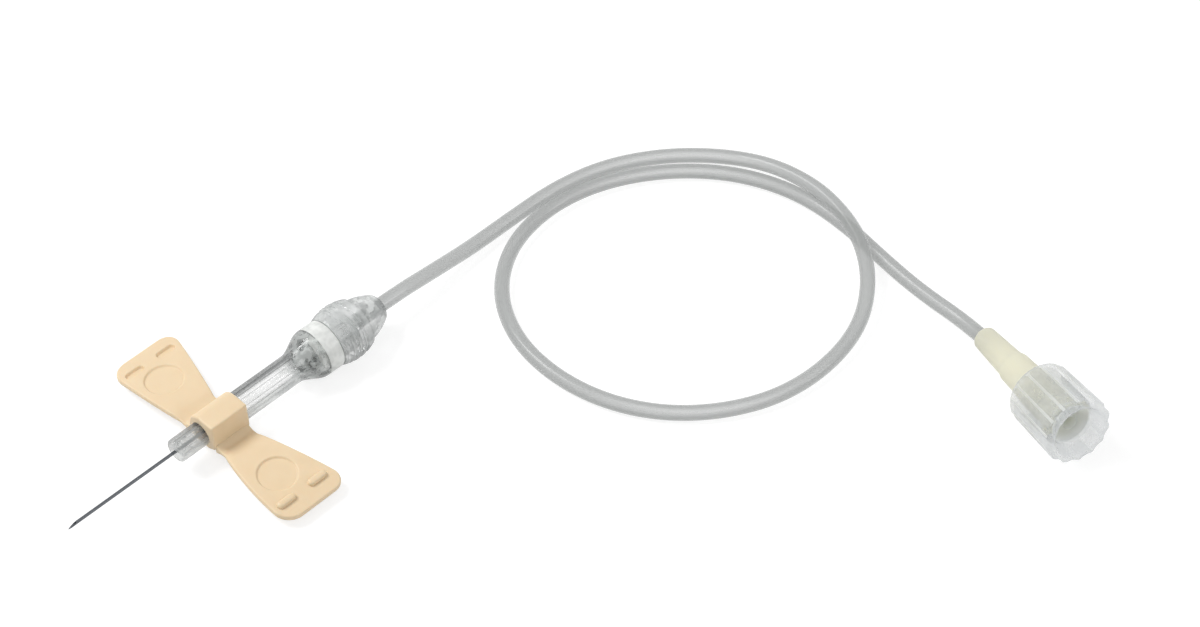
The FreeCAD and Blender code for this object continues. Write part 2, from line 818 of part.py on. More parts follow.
def build_luer_hub():
    """Female luer: tapered tube socket, collar and lugged end with its 6% cone."""
    body = make_body("luer_hub")
    tip = dim.luer_tip_diameter / 2
    wide = dim.luer_taper_diameter / 2
    collar = dim.luer_collar_diameter / 2
    outer = dim.luer_body_diameter / 2
    hole = dim.tube_diameter / 2 + dim.bond_gap
    fluid = dim.luer_fluid_bore / 2
    cone_start = dim.luer_end - dim.luer_depth
    cone_root = (dim.luer_mouth - dim.luer_cone * dim.luer_depth) / 2
    wall_middle = (dim.luer_mouth / 2 + outer) / 2
    revolve(body, "hub", [
        (0, hole),
        (0, tip - dim.luer_tip_round / 2),
        (dim.luer_tip_round, tip),
        (dim.luer_taper_length, wide),
        (dim.luer_taper_length + dim.luer_step_length, dim.luer_step_diameter / 2),
        (dim.cap_start, collar),
        (dim.cap_start + dim.luer_shoulder, outer),
        (dim.luer_end, outer),
        (dim.luer_end, dim.luer_mouth / 2),
        (cone_start, cone_root),
        (cone_start, fluid),
        (dim.tube_socket, fluid),
        (dim.tube_socket, hole),
    ])
    sketch = make_sketch(body, "XY_Plane", "lug_profile")
    draw(sketch, [
        (dim.luer_end - dim.lug_thickness, wall_middle),
        (dim.luer_end, wall_middle),
        (dim.luer_end, dim.lug_span / 2 + dim.lug_rake),
        (dim.luer_end - dim.lug_thickness + dim.lug_rake, dim.lug_span / 2 + dim.lug_rake),
    ])
    lug = pad(body, sketch, "lug", dim.lug_width, midplane=True)
    polar(body, "lugs", lug, 2)
    trim = make_sketch(body, "XY_Plane", "lug_trim_profile")
    draw(trim, [
        (dim.cap_start, dim.lug_span / 2),
        (dim.luer_end + dim.lug_rake, dim.lug_span / 2),
        (dim.luer_end + dim.lug_rake, dim.lug_span),
        (dim.cap_start, dim.lug_span),
    ])
    groove(body, trim, "lug_trim")
    aim_along_luer(body, as_size(0))
    return body


def build_cap():
    """Clear fluted cap: threaded skirt, web and hollow plug in the luer's cone."""
    body = make_body("luer_cap")
    rear = dim.cap_rear_diameter / 2
    front = dim.cap_front_diameter / 2
    bore = dim.cap_bore / 2
    floor = dim.cap_length - dim.cap_recess_depth
    web = floor - dim.cap_web
    mouth_gap = dim.running_gap / 2
    plug_root = dim.luer_mouth / 2 - mouth_gap
    plug_tip = web - dim.plug_length
    tip_radius = plug_root - dim.luer_cone * dim.plug_length / 2
    revolve(body, "cap", [
        (plug_tip, 0),
        (plug_tip, tip_radius),
        (web, plug_root),
        (web, bore),
        (0, bore),
        (0, rear - dim.cap_rear_chamfer),
        (dim.cap_rear_chamfer, rear),
        (dim.cap_length - dim.cap_front_chamfer, front),
        (dim.cap_length, front - dim.cap_front_chamfer),
        (dim.cap_length, dim.cap_recess_mouth / 2),
        (floor, dim.cap_recess_floor / 2),
        (floor, dim.plug_core / 2),
        (plug_tip + dim.plug_skin, dim.plug_core / 2),
        (plug_tip + dim.plug_skin, 0),
    ])
    sketch = make_sketch(body, "YZ_Plane", "flute_profile")
    circle(sketch, 0, front + dim.flute_radius - dim.flute_depth, dim.flute_radius)
    flute = pocket(body, sketch, "flute", dim.cap_length, backwards=True)
    polar(body, "flutes", flute, flute_count)
    aim_along_luer(body, dim.cap_start)
    return body


parts = [
    build_needle(),
    build_hub(),
    build_barrel(),
    build_lock_ring(),
    build_grip(),
    build_saddle(),
    build_wing("wing_slotted", False),
    build_wing("wing_pegged", True),
    build_tubing(),
    build_luer_hub(),
    build_cap(),
]

doc.recompute()
for item in doc.Objects:
    if "Invalid" in item.State or "Error" in item.State:
        raise ValueError(f"{item.Label} failed: {item.State}")

for item in parts:
    shape = item.Shape
    if shape.isNull() or not shape.isValid() or not shape.Solids:
        raise ValueError(item.Label + " is not a valid solid")
    box = shape.BoundBox
    spans = f"X {box.XMin:.2f} {box.XMax:.2f}, Y {box.YMin:.2f} {box.YMax:.2f}, Z {box.ZMin:.2f} {box.ZMax:.2f}"
    print(f"{item.Label}: {len(shape.Solids)} solid, volume {shape.Volume:.2f}, {spans}")
    shape.exportStep(f"parts/{item.Label}.step")
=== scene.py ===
import math

import bmesh
import bpy
import numpy as np
from mathutils import Matrix, Vector


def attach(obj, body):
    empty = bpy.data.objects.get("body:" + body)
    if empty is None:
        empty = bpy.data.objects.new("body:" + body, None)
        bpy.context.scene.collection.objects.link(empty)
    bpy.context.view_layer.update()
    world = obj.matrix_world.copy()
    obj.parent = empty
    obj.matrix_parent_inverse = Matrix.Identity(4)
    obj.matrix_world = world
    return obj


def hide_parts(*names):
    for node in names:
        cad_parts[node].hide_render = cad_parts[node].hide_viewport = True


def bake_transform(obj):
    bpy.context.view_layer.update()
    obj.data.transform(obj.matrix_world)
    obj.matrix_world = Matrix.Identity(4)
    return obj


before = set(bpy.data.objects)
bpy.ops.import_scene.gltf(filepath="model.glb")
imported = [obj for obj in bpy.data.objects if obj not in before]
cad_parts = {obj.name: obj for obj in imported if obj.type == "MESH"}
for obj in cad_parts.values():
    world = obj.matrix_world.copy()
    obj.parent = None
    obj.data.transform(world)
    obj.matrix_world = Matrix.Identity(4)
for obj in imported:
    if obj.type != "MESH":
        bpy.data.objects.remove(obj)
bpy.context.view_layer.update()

bl_info = {
    "name": "Winged infusion set",
    "version": (1, 0, 0),
    "blender": (4, 5, 0),
    "location": "3D View > Sidebar > Infusion set",
    "description": "Needle in a sliding clear barrel with soft wings, tubing and a capped luer hub",
    "category": "Add Mesh",
}

# The frame of the barrel: stations run from its nose face along +X, and its
# axis lies 4.2 mm above the table. All shapes are worked out in millimetres.
NOSE_X = -9.65
AXIS_Z = 4.2

# The connector lies off the table at a slant: its mouth and its unit direction.
LUER_MOUTH = np.array([90.65, -67.95, 1.87])
LUER_AIM = np.array([-0.330775, -0.921285, 0.204502])

# The tube's route. Its points were moved from those in the part's
# source, by up to about 4 mm, until the line lay as the photograph's does. The
# upper pass rests on the lower one.
TUBE_ROUTE = [
    (25.65, 0.0, 4.2), (32.85, 0.0, 4.2),
    (41.0, 0.2, 3.1), (49.8, 0.8, 1.5), (58.8, 1.0, 1.2), (68.0, 0.8, 1.2), (76.9, -1.3, 1.2),
    (85.0, -6.0, 1.2), (91.4, -12.5, 1.3), (94.7, -20.6, 2.7), (95.1, -29.2, 4.0), (93.8, -36.6, 4.2),
    (90.9, -43.5, 3.9), (86.0, -49.2, 2.8), (79.2, -53.2, 1.5), (70.1, -54.7, 1.2), (60.9, -53.6, 1.2),
    (52.8, -49.6, 1.2), (46.2, -43.5, 1.2), (41.8, -35.5, 1.2), (40.2, -26.4, 1.2), (41.4, -17.3, 1.2),
    (45.9, -9.2, 1.2), (53.3, -3.6, 1.2), (62.0, -1.5, 1.2), (70.9, -2.4, 1.2), (79.2, -6.1, 1.2),
    (86.4, -12.0, 1.2), (91.6, -19.4, 1.2), (94.3, -27.9, 1.2), (94.3, -37.0, 1.2), (92.8, -45.8, 1.2),
    (91.6, -54.6, 1.2), (91.5, -65.0, 1.216), (89.327, -71.635, 2.688),
]

# Grooves round the grip: where they start, how far apart and how wide they are.
GROOVE_STARTS = (30.5, 31.65, 32.8)
GROOVE_PITCH = 1.15
GROOVE_WIDTH = 0.58

# On a wing, a place is (station along the barrel, distance out from the hinge).
HINGE_Y = 4.0
HINGE_Z = 2.75
WING_REACH = 16.2
WING_CORNER = 2.8
DIMPLE_CENTRE = (7.8, 8.7)
SLOT_CENTRES = ((5.85, 13.2), (11.75, 13.2))
SLOT_LENGTH = 3.2
SLOT_WIDTH = 1.25
PEG_CENTRES = ((5.55, 13.2), (11.4, 13.2))

# The camera that was fitted to the photograph: the direction back to it, the
# point on the table that it looks at, and its distance, in metres.
CAMERA_BACK = (-0.4771, -0.4692, 0.7431)
CAMERA_AIM = (0.05471, -0.02223, 0.0)
CAMERA_DISTANCE = 0.43

# Lamps: name, place in metres, watts and width in metres.
LAMPS = (
    ("key_lamp", (-0.3, 0.62, 0.95), 8.8, 0.45),
    ("fill_lamp", (0.62, -0.97, 0.61), 2.2, 0.25),
)
LAMP_AIM = (0.03, -0.02, 0.0)
FLOOR_REACH = 3.0


def to_linear(text):
    """Turn an sRGB colour written as #RRGGBB into linear red, green, blue and 1."""
    raw = np.array([int(text[i:i + 2], 16) for i in (1, 3, 5)]) / 255.0
    linear = np.where(raw <= 0.04045, raw / 12.92, ((raw + 0.055) / 1.055) ** 2.4)
    return (*linear.tolist(), 1.0)


def length_property(name, text, millimetres):
    return bpy.props.FloatProperty(name=name, description=text, default=millimetres / 1000.0, unit="LENGTH",
                                   precision=5)


def colour_property(name, text, code):
    return bpy.props.FloatVectorProperty(name=name, description=text, default=to_linear(code), subtype="COLOR",
                                         size=4, min=0.0, max=1.0)


class InfusionSizes(bpy.types.PropertyGroup):
    needle_diameter: length_property("Needle diameter", "Outside of the steel cannula", 0.5)
    bevel_length: length_property("Bevel length", "Length of the ground point", 1.9)
    shaft_diameter: length_property("Shaft diameter", "Outside of the clear shaft that holds the needle", 2.6)
    nose_diameter: length_property("Nose diameter", "Outside of the barrel's slim nose", 3.75)
    barrel_diameter: length_property("Barrel diameter", "Outside of the barrel's main tube", 4.75)
    flare_diameter: length_property("Flare diameter", "Outside of the barrel's wide rear end", 8.0)
    grip_flat: length_property("Grip half height", "Height of the grip's flats off its axis", 4.2)
    rib_depth: length_property("Rib depth", "Depth of the grooves round the grip", 0.42)
    wing_thickness: length_property("Wing thickness", "Thickness of the wing blades", 1.0)
    slot_depth: length_property("Slot depth", "Depth of the two slots in one wing", 0.45)
    peg_height: length_property("Peg height", "Height of the two pegs on the other wing", 0.6)
    dimple_depth: length_property("Dimple depth", "Depth of the round finger rest in each wing", 0.3)
    tube_diameter: length_property("Tube diameter", "Outside of the soft tubing", 2.4)
    flute_depth: length_property("Flute depth", "Depth of the cap's grip flutes", 0.3)
    flute_count: bpy.props.IntProperty(name="Flutes", description="Number of flutes round the cap", default=14,
                                       min=6, max=30)


class InfusionColours(bpy.types.PropertyGroup):
    steel: colour_property("Steel", "Drawn and ground steel of the cannula", "#63666A")
    clear_edge: colour_property("Clear edge", "Grey of clear moulded plastic seen edge on", "#ECEFEE")
    cap_edge: colour_property("Cap edge", "Milky grey of the clear cap seen edge on", "#D6D9DB")
    ring: colour_property("Ring", "Frosted white of the lock ring", "#F1F3F0")
    wing: colour_property("Wing", "Peach of the soft wings and saddle", "#ECD6B4")
    tube: colour_property("Tube", "Grey of the clear soft tube seen edge on", "#B9BBBA")
    grip: colour_property("Grip", "Smoky grey of the thick clear grip", "#E2E5E4")
    # Painted shade: the shaft's clear polycarbonate is given this dark grey for the shade deep inside the barrel.
    finger: colour_property("Fingers", "Dark grey of clear plastic deep inside the barrel", "#8A8E8D")
    luer: colour_property("Luer", "Pale yellow of the luer hub", "#F7F5E5")
    floor: colour_property("Floor", "Plain studio floor", "#FFFFFF")


def sizes():
    return bpy.context.scene.infusion_sizes


def colours():
    return bpy.context.scene.infusion_colours


# ---------------------------------------------------------------- surfaces

def grid_quads(rows, cols, wrap_rows, wrap_cols):
    """Four corner numbers for each cell of a grid, joined end to end where it wraps."""
    i = np.arange(rows if wrap_rows else rows - 1)[:, None]
    j = np.arange(cols if wrap_cols else cols - 1)[None, :]
    k = (i + 1) % rows
    m = (j + 1) % cols
    return np.stack([i * cols + j, k * cols + j, k * cols + m, i * cols + m], axis=-1).reshape(-1, 4)


def as_patch(points, wrap_rows, wrap_cols):
    rows, cols = points.shape[:2]
    return points.reshape(-1, 3), grid_quads(rows, cols, wrap_rows, wrap_cols)


def closed_sheet(top, bottom):
    """Two grids of one size, joined along their four borders into a closed shell."""
    rows, cols = top.shape[:2]
    count = rows * cols
    index = np.arange(count).reshape(rows, cols)
    border = np.concatenate([index[0, :], index[1:, -1], index[-1, -2::-1], index[-2:0:-1, 0]])
    follow = np.roll(border, -1)
    walls = np.stack([border, follow, follow + count, border + count], axis=-1)
    face = grid_quads(rows, cols, False, False)
    quads = np.concatenate([face, face[:, ::-1] + count, walls])
    return np.concatenate([top.reshape(-1, 3), bottom.reshape(-1, 3)]), quads


def soft_corners(corners, cut=0.12, steps=5, closed=True):
    """Each corner C becomes the curve (1-t)^2 A + 2t(1-t) C + t^2 B between points A and B beside it."""
    corners = np.asarray(corners, dtype=float)
    back = np.roll(corners, 1, axis=0) - corners
    ahead = np.roll(corners, -1, axis=0) - corners
    back_length = np.linalg.norm(back, axis=1, keepdims=True)
    ahead_length = np.linalg.norm(ahead, axis=1, keepdims=True)
    reach = np.minimum(cut, 0.45 * np.minimum(back_length, ahead_length))
    start = corners + back / back_length * reach
    end = corners + ahead / ahead_length * reach
    if not closed:
        start[[0, -1]] = corners[[0, -1]]
        end[[0, -1]] = corners[[0, -1]]
    t = np.linspace(0.0, 1.0, steps)[None, :, None]
    curve = (1 - t) ** 2 * start[:, None] + 2 * t * (1 - t) * corners[:, None] + t * t * end[:, None]
    return curve.reshape(-1, corners.shape[1])


def refined(line, step, closed=True):
    """The same line with points no further than a step apart, spread evenly over each run."""
    line = np.asarray(line, dtype=float)
    follow = np.roll(line, -1, axis=0) if closed else line[1:]
    start = line if closed else line[:-1]
    length = np.linalg.norm(follow - start, axis=1)
    pieces = np.maximum(np.ceil(length / step).astype(int), 1)
    run = np.repeat(np.arange(len(start)), pieces)
    place = np.arange(pieces.sum()) - np.repeat(np.cumsum(pieces) - pieces, pieces)
    t = (place / pieces[run])[:, None]
    points = start[run] * (1 - t) + follow[run] * t
    if not closed:
        points = np.concatenate([points, line[-1:]])
    return points


def turned(profile, steps=96, reshape=None):
    """Grid (s, r cos a, r sin a) for a profile of stations s and radii r and all angles a."""
    profile = np.asarray(profile, dtype=float)
    a = np.linspace(0.0, 2 * np.pi, steps, endpoint=False)[None, :]
    s = profile[:, :1] + 0 * a
    r = profile[:, 1:] + 0 * a
    if reshape is not None:
        r = reshape(s, r, a)
    return np.stack([s, r * np.cos(a), r * np.sin(a)], axis=-1)


def bent_block(section, angles):
    """A section of (s, r) points swept through angles round the axis, closed at both ends."""
    section = np.asarray(section, dtype=float)
    s = section[None, :, 0] + 0 * angles[:, None]
    r = section[None, :, 1] + 0 * angles[:, None]
    middle = section.mean(axis=0)
    s = np.concatenate([0 * s[:1] + middle[0], s, 0 * s[:1] + middle[0]])
    r = np.concatenate([0 * r[:1] + middle[1], r, 0 * r[:1] + middle[1]])
    a = np.concatenate([angles[:1], angles, angles[-1:]])[:, None]
    return np.stack([s, r * np.cos(a), r * np.sin(a)], axis=-1)


def s_curve(x, r, run, rise, steps=14):
    """Points of a smooth step from (x, r): r + rise (3t^2 - 2t^3)."""
    t = np.linspace(0.0, 1.0, steps)
    return list(zip((x + run * t).tolist(), (r + rise * t * t * (3 - 2 * t)).tolist()))


def arc_line(x0, r0, x1, r1, bulge, steps=12):
    """Points from one end to the other, raised by 4 bulge t (1-t) in between."""
    t = np.linspace(0.0, 1.0, steps)
    return list(zip((x0 + (x1 - x0) * t).tolist(), (r0 + (r1 - r0) * t + 4 * bulge * t * (1 - t)).tolist()))


def smooth_step(edge_a, edge_b, value):
    """0 before a, 1 after b, and 3t^2 - 2t^3 between."""
    t = np.clip((value - edge_a) / (edge_b - edge_a), 0.0, 1.0)
    return t * t * (3 - 2 * t)


def on_barrel(points):
    return points + np.array([NOSE_X, 0.0, AXIS_Z])


def on_luer(points):
    """Put (station, side, up) points on the slanted connector."""
    side = np.cross([0.0, 0.0, 1.0], LUER_AIM)
    side = side / np.linalg.norm(side)
    lift = np.cross(LUER_AIM, side)
    return LUER_MOUTH + points[..., :1] * LUER_AIM + points[..., 1:2] * side + points[..., 2:] * lift


def add_piece(name, patches, material, sharp=40.0):
    """One mesh object at the origin from patches of points in millimetres and quads."""
    points = []
    quads = []
    total = 0
    for patch_points, patch_quads in patches:
        points.append(patch_points)
        quads.append(patch_quads + total)
        total += len(patch_points)
    points = np.concatenate(points) / 1000.0
    quads = np.concatenate(quads)
    mesh = bpy.data.meshes.new(name)
    mesh.vertices.add(len(points))
    mesh.vertices.foreach_set("co", points.astype(np.float32).ravel())
    mesh.loops.add(quads.size)
    mesh.loops.foreach_set("vertex_index", quads.astype(np.int32).ravel())
    mesh.polygons.add(len(quads))
    mesh.polygons.foreach_set("loop_start", np.arange(0, quads.size, 4, dtype=np.int32))
    mesh.update(calc_edges=True)
    work = bmesh.new()
    work.from_mesh(mesh)
    bmesh.ops.remove_doubles(work, verts=work.verts, dist=4e-7)
    bmesh.ops.dissolve_degenerate(work, edges=work.edges, dist=1e-8)
    bmesh.ops.recalc_face_normals(work, faces=work.faces)
    work.to_mesh(mesh)
    work.free()
    mesh.polygons.foreach_set("use_smooth", np.ones(len(mesh.polygons), dtype=bool))
    mesh.set_sharp_from_angle(angle=math.radians(sharp))
    mesh.materials.append(material)
    piece = bpy.data.objects.new(name, mesh)
    bpy.context.scene.collection.objects.link(piece)
    return piece


# --------------------------------------------------------------- materials

def add_node(tree, kind, values=None, **settings):
    """A node with its settings, and numbers or links for its inputs."""
    item = tree.nodes.new(kind)
    for key, value in settings.items():
        setattr(item, key, value)
    for key, value in (values or {}).items():
        if isinstance(value, bpy.types.NodeSocket):
            tree.links.new(value, item.inputs[key])
        else:
            item.inputs[key].default_value = value
    return item


def new_material(name):
    material = bpy.data.materials.new(name)
    material.use_nodes = True
    tree = material.node_tree
    tree.nodes.clear()
    return material, tree


def place_noise(tree, size_mm, stretch=(1.0, 1.0, 1.0), detail=2.0):
    """Noise with features of a real size, read from the piece's own coordinates."""
    where = add_node(tree, "ShaderNodeTexCoord").outputs["Object"]
    spread = add_node(tree, "ShaderNodeMapping", {"Vector": where, "Scale": stretch})
    return add_node(tree, "ShaderNodeTexNoise",
                    {"Vector": spread.outputs["Vector"], "Scale": 1000.0 / size_mm, "Detail": detail}).outputs["Fac"]


def surface_bump(tree, height, depth_mm, strength=1.0):
    return add_node(tree, "ShaderNodeBump",
                    {"Height": height, "Distance": depth_mm / 1000.0, "Strength": strength}).outputs["Normal"]


def object_place(tree, axis):
    """How far along an axis a point lies, in metres."""
    where = add_node(tree, "ShaderNodeTexCoord").outputs["Object"]
    return add_node(tree, "ShaderNodeSeparateXYZ", {"Vector": where}).outputs[axis]


def ramp(tree, value, start, end, low, high):
    """Low where the value is at the start, high at the end, and straight between."""
    return add_node(tree, "ShaderNodeMapRange", {
        "Value": value, "From Min": start, "From Max": end, "To Min": low, "To Max": high}).outputs["Result"]


def combined(tree, operation, values):
    """Some values joined by one operation, such as MAXIMUM or MULTIPLY."""
    whole = values[0]
    for value in values[1:]:
        whole = add_node(tree, "ShaderNodeMath", {0: whole, 1: value}, operation=operation).outputs[0]
    return whole


def larger(tree, *values):
    return combined(tree, "MAXIMUM", values)


def product(tree, *values):
    return combined(tree, "MULTIPLY", values)


def steps_of(tree, value, stops):
    """A grey ramp of (place, level) stops."""
    ramp = add_node(tree, "ShaderNodeValToRGB", {"Fac": value})
    band = ramp.color_ramp
    while len(band.elements) < len(stops):
        band.elements.new(0.5)
    for element, (place, level) in zip(band.elements, stops):
        element.position = place
        element.color = (level, level, level, 1.0)
    return ramp.outputs["Color"]


def blend_shaders(tree, share, first, second):
    """The first shader where the share is 0, and the second where it is 1."""
    return add_node(tree, "ShaderNodeMixShader", {0: share, 1: first.outputs[0], 2: second.outputs[0]})


def seen_rays(tree):
    """1 for rays that show something to the eye: straight from the camera, mirrored, or through clear plastic."""
    path = add_node(tree, "ShaderNodeLightPath")
    return larger(tree, path.outputs["Is Camera Ray"], path.outputs["Is Glossy Ray"],
                  path.outputs["Is Transmission Ray"])


def drawn_steel():
    """Drawn stainless steel: fine lines along the needle, bright where they catch the lamp."""
    material, tree = new_material("drawn_stainless_steel")
    lines = place_noise(tree, 0.08, (0.03, 1.0, 1.0))
    shader = add_node(tree, "ShaderNodeBsdfPrincipled", {
        "Base Color": colours().steel, "Metallic": 1.0, "Roughness": ramp(tree, lines, 0.0, 1.0, 0.16, 0.34),
        "Normal": surface_bump(tree, lines, 0.004, 0.5)})
    add_node(tree, "ShaderNodeOutputMaterial", {"Surface": shader.outputs["BSDF"]})
    return material


def moulded_clear(name, colour, stops, roughness=0.07, flow_mm=1.5, wave_mm=0.02, shine=1.3, cloud=0.0,
                  through=0.65, inner=0.2, haze_and_painted_light=None, painted_dark_and_streaks=None, stretch=(1.0, 1.0, 1.0)):
    """Moulded clear plastic: see-through face on, grey edge on, with flow waves and a glossy skin.

    Through is how much of what it holds back is lit from behind. Inner is the share of the gloss that the inside of
    each wall has, which darkens the outlines. Where the haze mask gives more than 0 the plastic is whiter and hides
    more:
    it carries real cloudiness, and painted highlights and painted reflections. Where the dark mask gives more than 0
    the
    plastic is darker: it carries painted shade, painted reflections and flow streaks. Shine is the index that sets
    the
    skin: polycarbonate has 1.58, PVC 1.54 and polypropylene 1.49, all lowered to 1.3 until the mirrored studio was as
    weak as in the photograph.
    """
    material, tree = new_material(name)
    normal = surface_bump(tree, place_noise(tree, flow_mm, stretch), wave_mm)
    facing = add_node(tree, "ShaderNodeLayerWeight", {"Blend": 0.5, "Normal": normal}).outputs["Facing"]
    solid = steps_of(tree, facing, stops)
    if cloud:
        clouds = place_noise(tree, flow_mm * 1.4, stretch, 3.0)
        shift = ramp(tree, clouds, 0.35, 0.65, -cloud, cloud)
        solid = add_node(tree, "ShaderNodeMath", {0: solid, 1: shift}, operation="ADD", use_clamp=True).outputs[0]
    # Painted shade and painted reflections, with flow streaks: the colour is drawn towards near black.
    if painted_dark_and_streaks:
        colour = add_node(tree, "ShaderNodeMixRGB", {
            "Fac": painted_dark_and_streaks(tree), "Color1": colour, "Color2": (0.07, 0.08, 0.08, 1.0)}).outputs["Color"]
    # Cloudiness, with painted highlights and painted reflections: the plastic is made whiter and more solid.
    if haze_and_painted_light:
        share = haze_and_painted_light(tree)
        solid = larger(tree, solid, share)
        colour = add_node(tree, "ShaderNodeMixRGB", {
            "Fac": share, "Color1": colour, "Color2": (0.93, 0.95, 0.94, 1.0)}).outputs["Color"]
    front = add_node(tree, "ShaderNodeBsdfDiffuse", {"Color": colour, "Normal": normal})
    behind = add_node(tree, "ShaderNodeBsdfTranslucent", {"Color": colour, "Normal": normal})
    clear = add_node(tree, "ShaderNodeBsdfTransparent")
    gloss = add_node(tree, "ShaderNodeBsdfGlossy", {"Roughness": roughness, "Normal": normal})
    inside = add_node(tree, "ShaderNodeNewGeometry").outputs["Backfacing"]
    fresnel = add_node(tree, "ShaderNodeFresnel", {"IOR": shine, "Normal": normal}).outputs["Fac"]
    skin = product(tree, fresnel, ramp(tree, inside, 0.0, 1.0, 1.0, inner))
    body = blend_shaders(tree, through, front, behind)
    seen = blend_shaders(tree, solid, clear, body)
    coated = blend_shaders(tree, skin, seen, gloss)
    add_node(tree, "ShaderNodeOutputMaterial", {"Surface": coated.outputs[0]})
    return material


def frosted_plastic():
    """Frosted polycarbonate from a spark-eroded mould: bright white, evenly matt, a little light comes through."""
    material, tree = new_material("frosted_polycarbonate")
    shader = add_node(tree, "ShaderNodeBsdfPrincipled", {
        "Base Color": colours().ring, "Roughness": 0.35, "Subsurface Weight": 0.3, "Subsurface Scale": 0.0008,
        "Subsurface Radius": (1.0, 1.0, 1.0), "Normal": surface_bump(tree, place_noise(tree, 0.5), 0.02)})
    clear = add_node(tree, "ShaderNodeBsdfTransparent")
    cover = ramp(tree, place_noise(tree, 1.6), 0.35, 0.65, 0.72, 0.95)
    mixed = blend_shaders(tree, cover, clear, shader)
    add_node(tree, "ShaderNodeOutputMaterial", {"Surface": mixed.outputs[0]})
    return material


def soft_vinyl():
    """Soft moulded PVC: peach, satin, faintly mottled, with a fine matt grain from the mould."""
    material, tree = new_material("moulded_soft_pvc")
    mottle = place_noise(tree, 3.0)
    grain = place_noise(tree, 0.14)
    base = colours().wing
    deep = (base[0] * 0.94, base[1] * 0.91, base[2] * 0.86, 1.0)
    tone = add_node(tree, "ShaderNodeMixRGB", {"Fac": mottle, "Color1": deep, "Color2": base})
    shader = add_node(tree, "ShaderNodeBsdfPrincipled", {
        "Base Color": tone.outputs["Color"], "Roughness": 0.46, "Subsurface Weight": 0.2, "Subsurface Scale": 0.001,
        "Subsurface Radius": (1.0, 0.7, 0.45), "Specular IOR Level": 0.4,
        "Normal": surface_bump(tree, grain, 0.01)})
    add_node(tree, "ShaderNodeOutputMaterial", {"Surface": shader.outputs["BSDF"]})
    return material


def luer_plastic():
    """Natural ABS, moulded: pale yellow and cloudy, so that light comes through its wall, and greyer edge on."""
    material, tree = new_material("natural_abs")
    normal = surface_bump(tree, place_noise(tree, 2.0), 0.02)
    facing = add_node(tree, "ShaderNodeLayerWeight", {"Blend": 0.22, "Normal": normal}).outputs["Facing"]
    base = colours().luer
    tone = add_node(tree, "ShaderNodeMixRGB", {
        "Fac": facing, "Color1": base, "Color2": (base[0] * 0.6, base[1] * 0.62, base[2] * 0.62, 1.0)})
    shader = add_node(tree, "ShaderNodeBsdfPrincipled", {
        "Base Color": tone.outputs["Color"], "Roughness": 0.3, "Subsurface Weight": 0.3, "Subsurface Scale": 0.001,
        "Subsurface Radius": (1.0, 0.95, 0.8), "Normal": normal})
    behind = add_node(tree, "ShaderNodeBsdfTranslucent", {"Color": base, "Normal": normal})
    clear = add_node(tree, "ShaderNodeBsdfTransparent")
    mixed = blend_shaders(tree, 0.9, clear, blend_shaders(tree, 0.35, shader, behind))
    add_node(tree, "ShaderNodeOutputMaterial", {"Surface": mixed.outputs[0]})
    return material


def far_side(tree):
    """1 along the upper far edge of the barrel and the grip, 0 in the middle, -1 along the lower near edge."""
    where = add_node(tree, "ShaderNodeTexCoord").outputs["Object"]
    arm = add_node(tree, "ShaderNodeVectorMath", {0: where, 1: (0.0, 0.0, AXIS_Z / 1000.0)}, operation="SUBTRACT")
    arm = add_node(tree, "ShaderNodeVectorMath", {0: arm.outputs["Vector"], 1: (0.0, 1.0, 1.0)}, operation="MULTIPLY")
    arm = add_node(tree, "ShaderNodeVectorMath", {0: arm.outputs["Vector"]}, operation="NORMALIZE")
    return add_node(tree, "ShaderNodeVectorMath", {0: arm.outputs["Vector"], 1: (0.0, 0.74, 0.67)},
                    operation="DOT_PRODUCT").outputs["Value"]


def edge_on(tree, start, end, high):
    """0 face on and high edge on."""
    facing = add_node(tree, "ShaderNodeLayerWeight", {"Blend": 0.5}).outputs["Facing"]
    return ramp(tree, facing, start, end, 0.0, high)


def in_flare(tree):
    """1 in the barrel's flare and 0 in its straight tube."""
    return ramp(tree, object_place(tree, "X"), 0.0105, 0.013, 0.0, 1.0)


def barrel_haze_and_painted_light(tree):
    """The nose's thick front is cloudy, 0.3 ahead of the saddle, and the flare has bright patches of 1.6 mm, which
    are painted reflections.
    """
    nose = ramp(tree, object_place(tree, "X"), -0.006, -0.005, 0.3, 0.0)
    # Painted reflection: bright patches in the flare.
    patches = product(tree, in_flare(tree), ramp(tree, place_noise(tree, 1.6, detail=3.0), 0.5, 0.55, 0.0, 0.6))
    return larger(tree, nose, patches)


def barrel_painted_shade_and_streaks(tree):
    """Painted shade along the barrel's far edge, flow streaks of 0.9 mm drawn out along it, and dark facets in its
    flare, which are painted reflections.
    """
    streaks = ramp(tree, place_noise(tree, 0.9, (0.2, 1.0, 1.0), 3.0), 0.5, 0.6, 0.0, 0.5)
    # Painted reflection: dark patches in the flare.
    facets = product(tree, in_flare(tree), ramp(tree, place_noise(tree, 1.3, detail=3.0), 0.5, 0.56, 0.0, 0.8))
    # Painted shade along the far edge, where the wall is seen edge on.
    rim = product(tree, ramp(tree, far_side(tree), 0.5, 0.7, 0.0, 1.0), edge_on(tree, 0.1, 0.28, 0.88))
    return larger(tree, rim, streaks, facets)


def finger_painted_reflection(tree):
    """Painted reflection: dark patches of 0.8 mm where the fingers mirror the dark room."""
    return ramp(tree, place_noise(tree, 0.8), 0.46, 0.54, 0.0, 0.9)


def grip_painted_shade(tree):
    """Painted shade: the grip's dark outline edge on and its darker near side; painted reflection: dark patches of
    2.2 mm on its dome.
    """
    dome = ramp(tree, object_place(tree, "X"), 0.0245, 0.0255, 0.0, 1.0)
    patches = product(tree, ramp(tree, place_noise(tree, 2.2), 0.5, 0.58, 0.0, 0.5), dome)
    # Painted shade on the outline and the near side, and painted reflection on the dome.
    return larger(tree, edge_on(tree, 0.62, 0.85, 0.8), ramp(tree, far_side(tree), -0.05, -0.45, 0.0, 0.36), patches)


